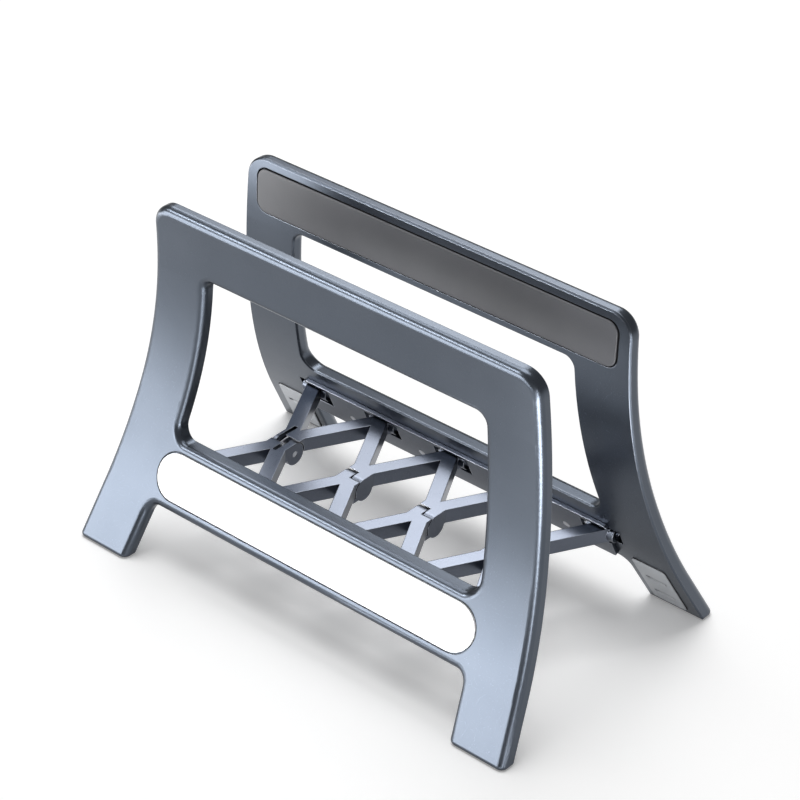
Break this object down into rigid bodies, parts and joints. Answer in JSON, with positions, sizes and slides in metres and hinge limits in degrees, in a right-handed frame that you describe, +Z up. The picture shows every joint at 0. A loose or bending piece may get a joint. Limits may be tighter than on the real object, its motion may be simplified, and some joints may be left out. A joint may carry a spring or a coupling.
{
  "type": "vertical laptop stand",
  "caption": "Stand that holds a closed laptop on edge between two flared metal frames joined by a hinged, sprung lattice that pulls them together under its weight.",
  "frame": {"origin": "on the floor, in the middle of the four feet", "axes": "+X along the two frames, +Y from the front frame with the plate to the back frame, +Z up"},
  "size_m": [0.1848, 0.1062, 0.121],
  "materials": {
    "frame_metal": "satin anodised",
    "lattice_metal": "satin anodised",
    "bar_metal": "satin anodised",
    "steel": "ground",
    "spring_steel": "drawn",
    "pad_rubber": "matt",
    "plate_white": "gloss"
  },
  "bodies": {
    "front_frame": {"front_frame": "frame_metal", "name_plate": "plate_white", "front_top_pad": "pad_rubber", "front_hinge_bar": "bar_metal", "front_hinge_rod": "steel", "front_bar_screws": "steel", "front_foot_pad_left": "pad_rubber", "front_foot_pad_right": "pad_rubber"},
    "front_lattice": {"front_lattice": "lattice_metal", "centre_pin_1": "steel", "centre_pin_2": "steel", "centre_pin_3": "steel", "centre_pin_4": "steel", "spring_left": "spring_steel", "spring_right": "spring_steel"},
    "back_lattice": {"back_lattice": "lattice_metal"},
    "back_frame": {"back_frame": "frame_metal", "back_top_pad": "pad_rubber", "back_hinge_bar": "bar_metal", "back_hinge_rod": "steel", "back_bar_screws": "steel", "back_foot_pad_left": "pad_rubber", "back_foot_pad_right": "pad_rubber"}
  },
  "joints": [
    {"name": "front_hinge", "type": "hinge", "parent": "front_frame", "child": "front_lattice", "pos_m": [0, -0.03277, 0.02988], "axis": [1, 0, 0], "range_deg": [-20, 0]},
    {"name": "centre_hinge", "type": "hinge", "parent": "front_lattice", "child": "back_lattice", "pos_m": [0, 0, 0.02838], "axis": [1, 0, 0], "range_deg": [0, 50], "stiffness_Nm_per_rad": 0.12, "springref_deg": -20.05, "deforming": ["spring_left", "spring_right"]},
    {"name": "back_hinge", "type": "hinge", "parent": "back_lattice", "child": "back_frame", "pos_m": [0, 0.03277, 0.02988], "axis": [1, 0, 0], "range_deg": [-20, 0]}
  ],
  "couplings": [
    {"joint": "front_hinge", "follows": "centre_hinge", "ratio": -0.4},
    {"joint": "back_hinge", "follows": "centre_hinge", "ratio": -0.4}
  ]
}
